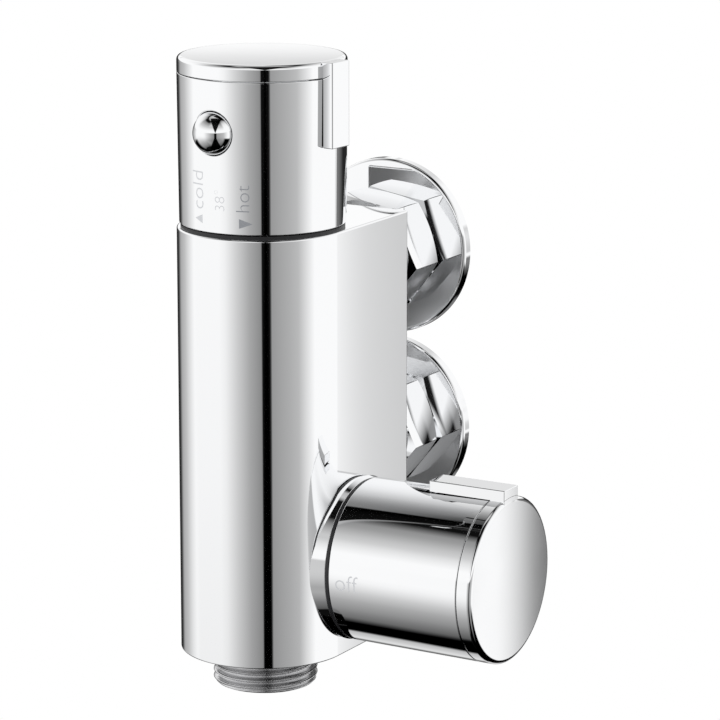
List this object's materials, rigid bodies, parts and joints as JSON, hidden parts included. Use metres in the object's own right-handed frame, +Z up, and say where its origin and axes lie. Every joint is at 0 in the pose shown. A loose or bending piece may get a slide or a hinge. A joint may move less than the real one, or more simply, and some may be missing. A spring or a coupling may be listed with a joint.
{
  "type": "thermostatic mixing valve",
  "caption": "Wall-mounted chrome shower mixer: upright body, temperature knob with a stop button on top, flow knob at the side, two wall inlets behind and a threaded outlet below.",
  "frame": {"origin": "on the wall face, on the upper inlet's axis", "axes": "+Z up along the body, +Y into the wall along the inlets, +X towards the flow knob"},
  "size_m": [0.0871, 0.1035, 0.1599],
  "materials": {
    "chrome_plate": "mirror polished chrome plate on brass",
    "machined_nickel": "dull machined and plated thread",
    "brass": "bare turned brass",
    "spring_steel": "bright stainless steel",
    "black_plastic": "moulded black plastic",
    "white_plastic": "moulded off-white plastic",
    "rubber": "black rubber",
    "ceramic": "lapped white ceramic"
  },
  "bodies": {
    "valve": {"cartridge_housing": "brass", "cartridge_lower_o_ring": "rubber", "cartridge_middle_o_ring": "rubber", "cartridge_retaining_nut": "brass", "cartridge_upper_o_ring": "rubber", "flow_fixed_disc": "ceramic", "flow_headwork": "brass", "flow_headwork_o_ring": "rubber", "flow_seat_seal": "rubber", "flow_stop_ring": "black_plastic", "lower_check_valve_housing": "white_plastic", "lower_check_valve_o_ring": "rubber", "lower_check_valve_spring": "spring_steel", "lower_inlet_o_ring": "rubber", "lower_inlet_tail": "chrome_plate", "lower_rosette": "chrome_plate", "lower_sealing_washer": "rubber", "lower_strainer": "spring_steel", "lower_union_nut": "chrome_plate", "lower_wall_union": "machined_nickel", "outlet_nipple": "machined_nickel", "outlet_o_ring": "rubber", "return_spring": "spring_steel", "return_spring_seat": "white_plastic", "temperature_stop_ring": "black_plastic", "upper_check_valve_housing": "white_plastic", "upper_check_valve_o_ring": "rubber", "upper_check_valve_spring": "spring_steel", "upper_inlet_o_ring": "rubber", "upper_inlet_tail": "chrome_plate", "upper_rosette": "chrome_plate", "upper_sealing_washer": "rubber", "upper_strainer": "spring_steel", "upper_union_nut": "chrome_plate", "upper_wall_union": "machined_nickel", "valve_body": "chrome_plate"},
    "temperature_knob": {"temperature_knob_sleeve": "chrome_plate", "temperature_knob_cap": "chrome_plate", "temperature_knob_insert": "brass", "temperature_knob_screw": "spring_steel", "temperature_spindle": "brass", "temperature_spindle_o_ring": "rubber", "safety_button_spring": "spring_steel"},
    "safety_button": {"safety_button": "chrome_plate"},
    "thermostat": {"adjusting_nut": "brass", "overload_spring": "spring_steel", "wax_element": "brass", "shuttle_sleeve": "white_plastic"},
    "flow_knob": {"flow_knob_sleeve": "chrome_plate", "flow_knob_cap": "chrome_plate", "flow_knob_insert": "brass", "flow_knob_screw": "spring_steel", "flow_spindle": "brass", "flow_spindle_o_ring": "rubber", "flow_moving_disc": "ceramic"},
    "upper_check_poppet": {"upper_check_valve_poppet": "white_plastic"},
    "lower_check_poppet": {"lower_check_valve_poppet": "white_plastic"}
  },
  "joints": [
    {"name": "temperature_turn", "type": "hinge", "parent": "valve", "child": "temperature_knob", "pos_m": [0, -0.0655, 0.0157], "axis": [0, 0, 1], "range_deg": [-180, 50]},
    {"name": "safety_button_press", "type": "slide", "parent": "temperature_knob", "child": "safety_button", "axis": [0.0785, 0.9969, 0], "range_m": [0, 0.0028], "stiffness_N_per_m": 900, "springref_m": -0.002, "deforming": ["safety_button_spring"]},
    {"name": "thermostat_travel", "type": "slide", "parent": "valve", "child": "thermostat", "axis": [0, 0, 1], "range_m": [-0.00152, 0.00043], "deforming": ["return_spring"]},
    {"name": "flow_turn", "type": "hinge", "parent": "valve", "child": "flow_knob", "pos_m": [0.02135, -0.0539, -0.0695], "axis": [1, 0, 0], "range_deg": [0, 90]},
    {"name": "upper_check_travel", "type": "slide", "parent": "valve", "child": "upper_check_poppet", "axis": [0, -1, 0], "range_m": [0, 0.0025], "stiffness_N_per_m": 120, "springref_m": -0.002, "deforming": ["upper_check_valve_spring"]},
    {"name": "lower_check_travel", "type": "slide", "parent": "valve", "child": "lower_check_poppet", "axis": [0, -1, 0], "range_m": [0, 0.0025], "stiffness_N_per_m": 120, "springref_m": -0.002, "deforming": ["lower_check_valve_spring"]}
  ],
  "couplings": [
    {"joint": "thermostat_travel", "follows": "temperature_turn", "m_per_rad": 0.00047746}
  ]
}
